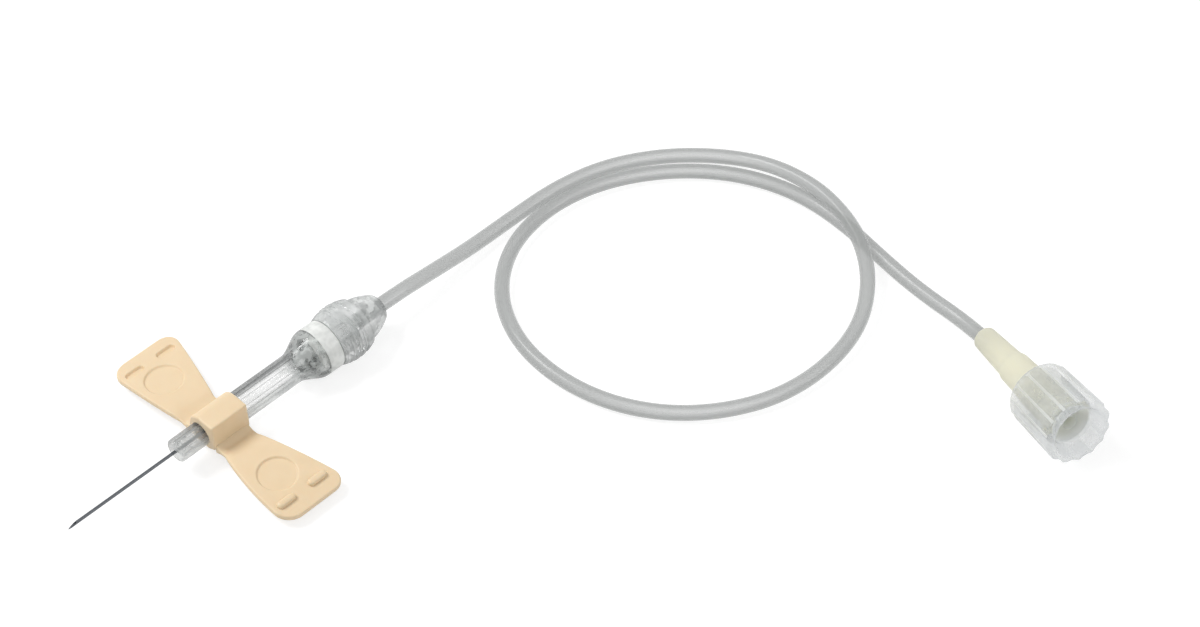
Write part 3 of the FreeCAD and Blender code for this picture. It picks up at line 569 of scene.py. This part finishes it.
def grip_painted_highlights(tree):
    """Painted highlights: light lines on the floors of the three grooves, 1.15 mm apart, on the near side, and light
    patches of 2.6 mm on the dome.
    """
    along = object_place(tree, "X")
    first = (NOSE_X + GROOVE_STARTS[0] + GROOVE_WIDTH / 2) / 1000.0
    past = add_node(tree, "ShaderNodeMath", {0: along, 1: first}, operation="SUBTRACT").outputs[0]
    fold = add_node(tree, "ShaderNodeMath", {0: past, 1: GROOVE_PITCH / 2000.0}, operation="PINGPONG").outputs[0]
    line = ramp(tree, fold, 0.00014, 0.00022, 0.6, 0.0)
    near = ramp(tree, far_side(tree), -0.1, -0.4, 0.0, 1.0)
    drum = ramp(tree, along, 0.0236, 0.0238, 1.0, 0.0)
    patches = ramp(tree, place_noise(tree, 2.6), 0.5, 0.56, 0.0, 0.85)
    on_dome = ramp(tree, along, 0.0255, 0.0262, 0.0, 1.0)
    # Painted highlights in the grooves and on the dome.
    return larger(tree, product(tree, line, near, drum), product(tree, on_dome, patches))


def cap_haze_and_painted_crests(tree):
    """Painted highlights on the cap's crests (5.16 to 5.43 mm off its slanted axis), and its web and plug are cloudy.
    """
    aim = tuple(LUER_AIM.tolist())
    where = add_node(tree, "ShaderNodeTexCoord").outputs["Object"]
    arm = add_node(tree, "ShaderNodeVectorMath", {0: where, 1: tuple((LUER_MOUTH / 1000.0).tolist())},
                   operation="SUBTRACT").outputs["Vector"]
    along = add_node(tree, "ShaderNodeVectorMath", {0: arm, 1: aim}, operation="DOT_PRODUCT").outputs["Value"]
    off = add_node(tree, "ShaderNodeVectorMath", {0: arm, 1: aim}, operation="CROSS_PRODUCT").outputs["Vector"]
    off = add_node(tree, "ShaderNodeVectorMath", {0: off}, operation="LENGTH").outputs["Value"]
    taper = -0.0265
    lowest = add_node(tree, "ShaderNodeMath", {0: along, 1: taper, 2: off}, operation="MULTIPLY_ADD").outputs[0]
    # Painted highlight: the crests are made light.
    crest = ramp(tree, lowest, 0.00467, 0.00473, 0.0, 0.75)
    plug = ramp(tree, off, 0.0032, 0.0034, 0.62, 0.0)
    return larger(tree, crest, plug)


def clear_wall():
    """Moulded polycarbonate of the barrel: nearly clear face on, with painted shade along its far edge, flow streaks
    along it, and painted reflections in its flare.
    """
    return moulded_clear("moulded_polycarbonate", colours().clear_edge,
                         [(0.0, 0.07), (0.18, 0.1), (0.3, 0.35), (0.5, 0.55), (1.0, 0.7)],
                         flow_mm=1.0, wave_mm=0.04, cloud=0.06, through=0.5, inner=0.3, haze_and_painted_light=barrel_haze_and_painted_light,
                         painted_dark_and_streaks=barrel_painted_shade_and_streaks, stretch=(0.25, 1.0, 1.0))


# ------------------------------------------------------------------ pieces

def needle_patch():
    """Steel tube whose front end is ground: x = bevel (1 + sin a)/2 plus a small |cos a| term for the point."""
    size = sizes()
    outer = size.needle_diameter * 500.0
    inner = 0.13
    bevel = size.bevel_length * 1000.0
    a = np.linspace(0.0, 2 * np.pi, 48, endpoint=False)[None, :]
    t = np.linspace(0.0, 1.0, 24)[:, None] ** 2.2
    rear = 10.8

    def wall(radius):
        front = -20.0 + bevel * (1 + np.sin(a) * radius / outer) / 2 + 0.28 * np.abs(np.cos(a)) * (radius / outer)
        s = front + (rear - front) * t
        return np.stack([s, radius * np.cos(a) + 0 * t, radius * np.sin(a) + 0 * t], axis=-1)

    rows = np.concatenate([wall(outer), wall(inner)[::-1]])
    return as_patch(on_barrel(rows), True, True)


def shaft_patch():
    """Clear shaft: the closed profile turned round the axis."""
    outer = sizes().shaft_diameter * 500.0
    profile = soft_corners([
        (0.8, 0.66), (0.8, outer - 0.15), (0.95, outer), (1.2, outer), (1.2, outer - 0.2), (2.2, outer - 0.2),
        (2.4, outer), (35.0, outer), (35.0, 0.6), (10.8, 0.6), (10.8, 0.26), (1.6, 0.26),
    ], 0.06, 4)
    return as_patch(on_barrel(turned(profile, 64)), True, True)


def barrel_patch():
    """Clear barrel: nose, step, main tube and S-shaped flare, with the bore inside."""
    size = sizes()
    nose = size.nose_diameter * 500.0
    tube = size.barrel_diameter * 500.0
    mouth = size.flare_diameter * 500.0
    profile = soft_corners([
        (-0.5, 0.45), (-0.5, nose - 0.25), (-0.25, nose), (11.2, nose), (11.2, tube - 0.12), (11.35, tube),
    ] + s_curve(21.6, tube, 4.5, mouth - tube) + [
        (26.2, mouth), (26.2, mouth - 0.4),
        (25.4, mouth - 0.5), (24.0, mouth - 1.1), (22.2, 1.95),
        (21.5, 1.875), (12.0, 1.875), (11.0, 1.38), (0.3, 1.38), (0.3, 0.45),
    ], 0.12, 4)
    return as_patch(on_barrel(turned(profile, 96)), True, True)


def band_patch():
    """Frosted band with its spigot, turned round the axis."""
    mouth = sizes().flare_diameter * 500.0
    band = soft_corners([
        (25.2, 2.9), (28.9, 2.9), (28.9, mouth), (26.22, mouth), (26.22, 3.43), (25.4, 3.43), (25.2, 3.13),
    ], 0.22, 6)
    return as_patch(on_barrel(turned(band, 96)), True, True)


def finger_patches():
    """Six spring fingers that close in on the shaft: one section swept through six arcs."""
    patches = []
    finger = soft_corners([(23.2, 1.38), (25.6, 2.72), (25.6, 3.2), (23.2, 1.78)], 0.12, 4)
    spread = math.radians(30.0) - 0.17
    for i in range(6):
        middle = math.radians(30.0 + 60.0 * i)
        angles = np.linspace(middle - spread, middle + spread, 12)
        patches.append(as_patch(on_barrel(bent_block(finger, angles)), False, True))
    return patches


def grip_patch():
    """Drum and dome turned round the axis; the drum is cut flat above and below: r = min(r, h / |sin a|)."""
    size = sizes()
    flat = size.grip_flat * 1000.0
    depth = size.rib_depth * 1000.0
    outside = np.array(
        arc_line(29.0, 4.05, 34.7, 4.1, 0.57, 60) + arc_line(34.9, 3.6, 38.8, 2.3, 0.24, 24)
        + arc_line(38.8, 2.3, 39.3, 1.75, 0.06, 5))
    stations = outside[:60, 0]
    cut = np.zeros(60)
    for start in GROOVE_STARTS:
        end = start + GROOVE_WIDTH
        cut = np.maximum(cut, smooth_step(start - 0.08, start + 0.08, stations)
                         * smooth_step(end, end - 0.16, stations))
    outside[:60, 1] -= depth * cut
    profile = np.concatenate([
        soft_corners([(33.0, 1.31), (33.0, 3.2), (29.0, 3.2), (29.0, 4.05)], 0.15, 4, closed=False)[:-1],
        outside,
        soft_corners([(39.3, 1.75), (39.3, 1.21), (35.3, 1.21), (35.3, 0.6), (35.0, 0.6), (35.0, 1.31)], 0.1, 4,
                     closed=False)[1:],
    ])

    def flats(s, r, a):
        soft = 0.06
        gap = flat / np.maximum(np.abs(np.sin(a)), 1e-3) - r
        round_gap = np.sqrt(gap * gap + soft * soft)
        shaped = r + 0.5 * (gap - round_gap) + 0.5 * soft * soft / round_gap
        return np.where((s < 34.95) & (r > 3.6), shaped, r)

    return as_patch(on_barrel(turned(refined(profile, 0.4), 180, flats)), True, True)


def saddle_patch():
    """Section of the saddle drawn in (y, z), carried along the nose, with its end edges rounded."""
    section = soft_corners([
        (-2.8, 3.15), (-2.9, 1.0), (-3.0, -1.15), (-2.75, -1.7), (-1.5, -2.35), (1.5, -2.35), (2.75, -1.7),
        (3.0, -1.15), (2.75, 0.0), (2.5, 1.0), (2.22, 1.775), (1.775, 2.393), (1.168, 2.85), (0.4, 3.15),
    ], 0.28, 6)
    section = refined(section, 0.25)
    ahead = np.roll(section, -1, axis=0) - np.roll(section, 1, axis=0)
    inward = np.stack([-ahead[:, 1], ahead[:, 0]], axis=-1)
    inward /= np.linalg.norm(inward, axis=1, keepdims=True)
    inward *= -np.sign((inward * section).sum(axis=1, keepdims=True).mean())
    angle = np.arctan2(section[:, 1], section[:, 0])
    bore = np.stack([1.885 * np.cos(angle), 1.885 * np.sin(angle)], axis=-1)
    turn = np.linspace(0.0, np.pi / 2, 6)
    edge = 0.28
    front, rear = 4.4, 11.1
    rows = [(front, bore)]
    rows += [(front + edge * (1 - math.cos(t)), section + inward * edge * (1 - math.sin(t))) for t in turn]
    rows += [(rear - edge * (1 - math.cos(t)), section + inward * edge * (1 - math.sin(t))) for t in turn[::-1]]
    rows += [(rear, bore)]
    grid = np.stack([np.column_stack([np.full(len(loop), s), loop]) for s, loop in rows])
    return as_patch(on_barrel(grid), True, True)


def wing_place(s, w, h, side):
    """A point s along the barrel, w out from the hinge and h above the blade's middle, on one side.

    The soft blade sags like a leaf: z = 2.75 + 0.03 w - 0.0063 w^2. Its arc length stays w, so its end draws in by
    half the sum of its slope squared.
    """
    out = np.maximum(w, 0.0)
    slope = np.arctan(0.03 - 0.0126 * out)
    draw_in = 0.5 * (0.0009 * out - 0.000378 * out ** 2 + 0.000053 * out ** 3)
    y = HINGE_Y + w - draw_in - h * np.sin(slope)
    z = HINGE_Z + 0.03 * out - 0.0063 * out ** 2 + h * np.cos(slope)
    return np.stack([NOSE_X + s + 0 * y, side * y, z], axis=-1)


def capsule_distance(s, w, centre, length, width):
    """Distance outwards from a round-ended bar that lies along the barrel."""
    half = (length - width) / 2
    along = np.maximum(np.abs(s - centre[0]) - half, 0.0)
    return np.hypot(along, w - centre[1]) - width / 2


def wing_patch(side, slotted):
    """Blade as two height fields over its rounded outline: h = half - r + sqrt(r^2 - (r - d)^2) near its edge."""
    size = sizes()
    half = size.wing_thickness * 500.0
    t = np.linspace(0.0, 1.0, 150)
    across = (t - 0.62 * np.sin(2 * np.pi * t) / (2 * np.pi))[None, :]
    t = np.linspace(0.0, 1.0, 190)
    out = 1 - (1 - t) ** 1.15
    w = (-1.15 + (WING_REACH + 1.15) * out)[:, None]
    q = np.clip((w - 0.9) / (WING_REACH - 0.9), 0.0, 1.0)
    lead, bow = (4.4, 1.3) if side > 0 else (4.6, 2.9)
    front = lead - (lead - 3.25) * q - bow * q * (1 - q)
    rear = 10.8 + 0.1 * side + 4.4 * q + 0.3 * q * (1 - q)
    to_tip = WING_REACH - w
    beyond = np.maximum(WING_CORNER - to_tip, 0.0)
    inset = WING_CORNER - np.sqrt(np.maximum(WING_CORNER ** 2 - beyond ** 2, 0.0))
    s = (front + inset) + (rear - front - 2 * inset) * across
    w = w + 0 * s
    line = np.minimum(s - front, rear - s)
    away = np.maximum(WING_CORNER - line, 0.0)
    beyond = beyond + 0 * s
    in_corner = (away > 0) & (beyond > 0)
    edge = np.where(in_corner, WING_CORNER - np.hypot(away, beyond), np.minimum(line, to_tip + 0 * s))
    edge = np.clip(edge, 0.0, None)
    depth = half * (0.6 + 0.4 * smooth_step(0.1, 2.4, w)) + 0.5 * smooth_step(0.3, -1.3, w)
    soft = 0.3 * (0.5 + 0.5 * smooth_step(0.3, 1.4, w))
    near = np.minimum(edge, soft)
    height = depth - soft + np.sqrt(np.maximum(soft ** 2 - (soft - near) ** 2, 0.0))
    dimple = np.hypot(s - DIMPLE_CENTRE[0], w - DIMPLE_CENTRE[1])
    low = size.dimple_depth * 1000.0 * smooth_step(3.12, 2.8, dimple)
    if slotted:
        for centre in SLOT_CENTRES:
            bar = capsule_distance(s, w, centre, SLOT_LENGTH, SLOT_WIDTH)
            low = np.maximum(low, size.slot_depth * 1000.0 * smooth_step(0.1, -0.16, bar))
    top = wing_place(s, w, height - low, side)
    bottom = wing_place(s, w, -height, side)
    return closed_sheet(top, bottom)


def peg_patch(side, centre):
    """Round-ended peg: its outline drawn in towards its middle line while it rises over a rounded rim."""
    size = sizes()
    tall = size.peg_height * 1000.0
    face = size.wing_thickness * 500.0
    half, radius, rim = 1.05, 0.6, 0.4
    a = np.linspace(0.0, 2 * np.pi, 64, endpoint=False)
    middle = np.where(np.abs(np.cos(a)) < 1e-9, 0.0, half * np.clip(np.cos(a) * 3.0, -1.0, 1.0))
    turn = np.linspace(0.0, np.pi / 2, 6)
    inset = np.concatenate([[radius, 0.0], rim * (1 - np.cos(turn)), [radius]])
    height = np.concatenate([[-0.3, -0.3], tall - rim + rim * np.sin(turn), [tall]])
    reach = np.maximum(radius - inset, 0.0)[:, None]
    s = centre[0] + middle[None, :] + reach * np.cos(a)[None, :]
    w = centre[1] + reach * np.sin(a)[None, :]
    h = face + height[:, None] + 0 * s
    return as_patch(wing_place(s, w, h, side), False, True)


def luer_patches():
    """Tapered hub with its collar, lugged end and 6% cone."""
    hub = soft_corners([
        (0.0, 1.21), (0.0, 1.6), (0.35, 1.88), (7.8, 2.25), (8.7, 2.55), (12.0, 2.66), (15.0, 2.95), (15.5, 3.0),
        (22.85, 3.0), (22.85, 2.14), (15.35, 1.915), (15.35, 0.7), (4.0, 0.7), (4.0, 1.21),
    ], 0.3, 6)
    patches = [as_patch(on_luer(turned(hub, 96)), True, True)]
    lug = soft_corners([(21.65, 2.6), (22.85, 2.6), (22.85, 3.85), (22.05, 3.9)], 0.12, 4)
    for middle in (0.0, math.pi):
        angles = np.linspace(middle - 0.42, middle + 0.42, 12)
        patches.append(as_patch(on_luer(bent_block(lug, angles)), False, True))
    return patches


def cap_patch():
    """Cap turned round the axis; each flute is a round cut: D cos d - sqrt(q^2 - (D sin d)^2), D = r + q - depth."""
    size = sizes()
    count = size.flute_count
    depth = size.flute_depth * 1000.0
    outside = soft_corners([
        (15.0, 4.1), (15.0, 4.5), (15.25, 4.9), (15.8, 5.16), (25.8, 5.425), (26.3, 5.05), (26.3, 4.3), (26.15, 4.2),
        (23.7, 3.1), (23.7, 1.1), (18.5, 1.1), (18.5, 0.0),
    ], 0.14, 5, closed=False)
    inside = soft_corners([
        (17.7, 0.0), (17.7, 1.9), (22.9, 2.1), (22.9, 4.1), (15.0, 4.1),
    ], 0.12, 4, closed=False)
    profile = refined(np.concatenate([inside[:-1], outside]), 0.35, closed=False)
    split = 2 * math.pi / count
    cutter = 2.3

    def fluted(s, r, a):
        turn = (a + split / 2) % split - split / 2
        distance = r + cutter - depth * smooth_step(15.1, 16.4, s)
        across = distance * np.sin(turn)
        scallop = distance * np.cos(turn) - np.sqrt(np.maximum(cutter ** 2 - across ** 2, 0.0))
        scallop = np.where(np.abs(across) < cutter, scallop, 99.0)
        outer = np.minimum(r, scallop)
        edge = math.cos(split / 2) / np.cos(turn)
        facet = r * (edge * 0.75 + 0.25)
        in_recess = (s > 23.65) & (r > 2.3) & (r < 4.26)
        return np.where(in_recess, facet, np.where(r > 4.4, outer, r))

    return as_patch(on_luer(turned(profile, count * 16, fluted)), False, True)


def dress(piece, body, node):
    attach(piece, body)
    if node:
        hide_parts(node)


# --------------------------------------------------------------- operators

class InfusionStage(bpy.types.Operator):
    """Make the floor, the soft studio light and the camera"""
    bl_idname = "infusion.stage"
    bl_label = "Stage"

    def execute(self, context):
        scene = context.scene
        back = Vector(CAMERA_BACK).normalized()
        right = Vector((0.0, 0.0, 1.0)).cross(back).normalized()
        up = back.cross(right)
        lens = bpy.data.cameras.new("photo_camera")
        lens.lens = 84.5
        lens.sensor_width = 36.0
        lens.clip_start = 0.01
        lens.clip_end = 20.0
        camera = bpy.data.objects.new("photo_camera", lens)
        turn = Matrix((right, up, back)).transposed().to_4x4()
        camera.matrix_world = Matrix.Translation(Vector(CAMERA_AIM) + back * CAMERA_DISTANCE) @ turn
        scene.collection.objects.link(camera)
        scene.camera = camera

        material, tree = new_material("studio_floor")
        seen = seen_rays(tree)
        matt = add_node(tree, "ShaderNodeBsdfDiffuse", {"Color": ramp(tree, seen, 0.0, 1.0, 0.8, 0.42)})
        shine = add_node(tree, "ShaderNodeEmission", {
            "Color": colours().floor, "Strength": product(tree, seen, 0.72)})
        both = add_node(tree, "ShaderNodeAddShader")
        tree.links.new(matt.outputs[0], both.inputs[0])
        tree.links.new(shine.outputs[0], both.inputs[1])
        add_node(tree, "ShaderNodeOutputMaterial", {"Surface": both.outputs[0]})
        corners = [(x * FLOOR_REACH, y * FLOOR_REACH, 0.0) for x, y in ((-1, -1), (1, -1), (1, 1), (-1, 1))]
        mesh = bpy.data.meshes.new("studio_floor")
        mesh.from_pydata(corners, [], [(0, 1, 2, 3)])
        mesh.materials.append(material)
        floor = bpy.data.objects.new("studio_floor", mesh)
        scene.collection.objects.link(floor)

        world = bpy.data.worlds.new("studio_light")
        scene.world = world
        world.use_nodes = True
        tree = world.node_tree
        tree.nodes.clear()
        level = ramp(tree, seen_rays(tree), 0.0, 1.0, 0.5, 1.0)
        sky = add_node(tree, "ShaderNodeBackground", {"Color": (1.0, 1.0, 1.0, 1.0), "Strength": level})
        add_node(tree, "ShaderNodeOutputWorld", {"Surface": sky.outputs[0]})

        for name, place, power, width in LAMPS:
            light = bpy.data.lights.new(name, "AREA")
            light.energy = power
            light.shape = "SQUARE"
            light.size = width
            lamp = bpy.data.objects.new(name, light)
            lamp.location = place
            lamp.rotation_euler = (Vector(place) - Vector(LAMP_AIM)).to_track_quat("Z", "Y").to_euler()
            scene.collection.objects.link(lamp)

        scene.view_settings.view_transform = "Standard"
        # The cap, the barrel and the shaft put many clear walls behind one another.
        scene.cycles.transparent_max_bounces = 48
        return {"FINISHED"}


class InfusionTubing(bpy.types.Operator):
    """Lay the soft tube along its route, from the grip's socket to the luer hub's"""
    bl_idname = "infusion.tubing"
    bl_label = "Tubing"

    def execute(self, context):
        route = np.array(TUBE_ROUTE) / 1000.0
        curve = bpy.data.curves.new("soft_tube", "CURVE")
        curve.dimensions = "3D"
        curve.resolution_u = 10
        curve.bevel_depth = sizes().tube_diameter / 2
        curve.bevel_resolution = 10
        curve.use_fill_caps = True
        spline = curve.splines.new("NURBS")
        spline.points.add(len(route) - 1)
        spline.points.foreach_set("co", np.column_stack([route, np.ones(len(route))]).ravel())
        spline.order_u = 3
        spline.use_endpoint_u = True
        # Clear PVC, extruded: satin, and grey except where the eye looks straight through its middle.
        curve.materials.append(moulded_clear(
            "extruded_clear_pvc", colours().tube,
            [(0.0, 0.38), (0.05, 0.44), (0.17, 0.62), (0.35, 0.68), (0.7, 0.5), (1.0, 0.4)],
            roughness=0.2, flow_mm=6.0, wave_mm=0.03))
        tube = bpy.data.objects.new("soft_tube", curve)
        context.scene.collection.objects.link(tube)
        dress(tube, "line", "tubing")
        return {"FINISHED"}


class InfusionNeedle(bpy.types.Operator):
    """Make the ground steel cannula and the clear shaft that holds it"""
    bl_idname = "infusion.needle"
    bl_label = "Needle and shaft"

    def execute(self, context):
        needle = add_piece("steel_needle", [needle_patch()], drawn_steel(), 30.0)
        dress(needle, "line", "needle_cannula")
        # Thin-walled polycarbonate deep in the barrel: only its two edges show, as dark lines, and its dark grey
        # colour is painted shade.
        shaft = add_piece("clear_shaft", [shaft_patch()], moulded_clear(
            "shaft_polycarbonate", colours().finger, [(0.0, 0.02), (0.55, 0.04), (0.7, 0.5), (1.0, 0.9)], inner=0.3))
        dress(shaft, "line", "needle_hub")
        return {"FINISHED"}


class InfusionBarrel(bpy.types.Operator):
    """Make the clear sliding barrel and the frosted ring in its mouth"""
    bl_idname = "infusion.barrel"
    bl_label = "Barrel and lock ring"

    def execute(self, context):
        barrel = add_piece("clear_barrel", [barrel_patch()], clear_wall())
        dress(barrel, "sheath", "sheath_barrel")
        ring = add_piece("frosted_ring", [band_patch()], frosted_plastic())
        dress(ring, "sheath", "lock_ring")
        # Small polycarbonate springs, with dark patches of painted reflection that stand for the dark room their bent
        # walls mirror.
        fingers = add_piece("ring_fingers", finger_patches(), moulded_clear(
            "finger_polycarbonate", colours().clear_edge, [(0.0, 0.45), (0.3, 0.6), (0.6, 0.8), (1.0, 0.9)],
            flow_mm=0.7, wave_mm=0.05, cloud=0.2, painted_dark_and_streaks=finger_painted_reflection), 25.0)
        dress(fingers, "sheath", None)
        return {"FINISHED"}


class InfusionGrip(bpy.types.Operator):
    """Make the ribbed clear grip with its dome"""
    bl_idname = "infusion.grip"
    bl_label = "Grip"

    def execute(self, context):
        # Thick polycarbonate, smoke grey, with painted shade in its dark outline and on its near side, painted
        # highlights in its grooves, and painted highlights and painted reflections in patches on its dome.
        grip = add_piece("clear_grip", [grip_patch()], moulded_clear(
            "grip_polycarbonate", colours().grip, [(0.0, 0.3), (0.2, 0.42), (0.5, 0.6), (0.8, 0.75), (1.0, 0.7)],
            flow_mm=2.0, wave_mm=0.05, cloud=0.1, through=0.25, inner=0.5,
            haze_and_painted_light=grip_painted_highlights, painted_dark_and_streaks=grip_painted_shade), 32.0)
        dress(grip, "line", "rear_grip")
        return {"FINISHED"}


class InfusionWings(bpy.types.Operator):
    """Make the soft saddle and its two wings, which fold on the real set, one with slots and one with pegs"""
    bl_idname = "infusion.wings"
    bl_label = "Saddle and wings"

    def execute(self, context):
        vinyl = soft_vinyl()
        saddle = add_piece("soft_saddle", [saddle_patch()], vinyl)
        dress(saddle, "sheath", "wing_saddle")
        for side, node, body in ((1, "wing_slotted", "slotted_wing"), (-1, "wing_pegged", "pegged_wing")):
            wing = add_piece("soft_" + node, [wing_patch(side, side > 0)], vinyl)
            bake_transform(wing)
            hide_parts(node)
        pegs = add_piece("wing_pegs", [peg_patch(-1, centre) for centre in PEG_CENTRES], vinyl)
        dress(pegs, "pegged_wing", None)
        return {"FINISHED"}


class InfusionLuer(bpy.types.Operator):
    """Make the pale yellow luer hub"""
    bl_idname = "infusion.luer"
    bl_label = "Luer hub"

    def execute(self, context):
        hub = add_piece("yellow_luer_hub", luer_patches(), luer_plastic())
        dress(hub, "line", "luer_hub")
        return {"FINISHED"}


class InfusionCap(bpy.types.Operator):
    """Make the clear fluted cap with its recess and plug"""
    bl_idname = "infusion.cap"
    bl_label = "Cap"

    def execute(self, context):
        # Clear polypropylene: a little cloudy, satin, with painted highlights on its crests.
        cap = add_piece("fluted_cap", [cap_patch()], moulded_clear(
            "clear_polypropylene", colours().cap_edge, [(0.0, 0.3), (0.35, 0.36), (0.7, 0.5), (1.0, 0.45)],
            roughness=0.25, cloud=0.1, inner=0.12, haze_and_painted_light=cap_haze_and_painted_crests), 22.0)
        dress(cap, "cap", "luer_cap")
        return {"FINISHED"}


class InfusionCord(bpy.types.Operator):
    bl_idname = "infusion.cord"
    bl_label = "Declare tube"

    def execute(self, context):
        return {"FINISHED"}


class InfusionPanel(bpy.types.Panel):
    bl_idname = "VIEW3D_PT_infusion"
    bl_label = "Infusion set"
    bl_space_type = "VIEW_3D"
    bl_region_type = "UI"
    bl_category = "Infusion set"

    def draw(self, context):
        for kind in OPERATORS:
            self.layout.operator(kind.bl_idname)


OPERATORS = (InfusionStage, InfusionTubing, InfusionNeedle, InfusionBarrel, InfusionGrip, InfusionWings,
             InfusionLuer, InfusionCap, InfusionCord)
GROUPS = (InfusionSizes, InfusionColours)


def register():
    for kind in (*GROUPS, *OPERATORS, InfusionPanel):
        bpy.utils.register_class(kind)
    bpy.types.Scene.infusion_sizes = bpy.props.PointerProperty(type=InfusionSizes)
    bpy.types.Scene.infusion_colours = bpy.props.PointerProperty(type=InfusionColours)


def unregister():
    del bpy.types.Scene.infusion_colours
    del bpy.types.Scene.infusion_sizes
    for kind in reversed((*GROUPS, *OPERATORS, InfusionPanel)):
        bpy.utils.unregister_class(kind)


def main():
    register()
    for kind in OPERATORS:
        group, name = kind.bl_idname.split(".")
        result = getattr(getattr(bpy.ops, group), name)()
        if result != {"FINISHED"}:
            raise RuntimeError(kind.bl_label + " did not finish")


if __name__ == "__main__":
    main()
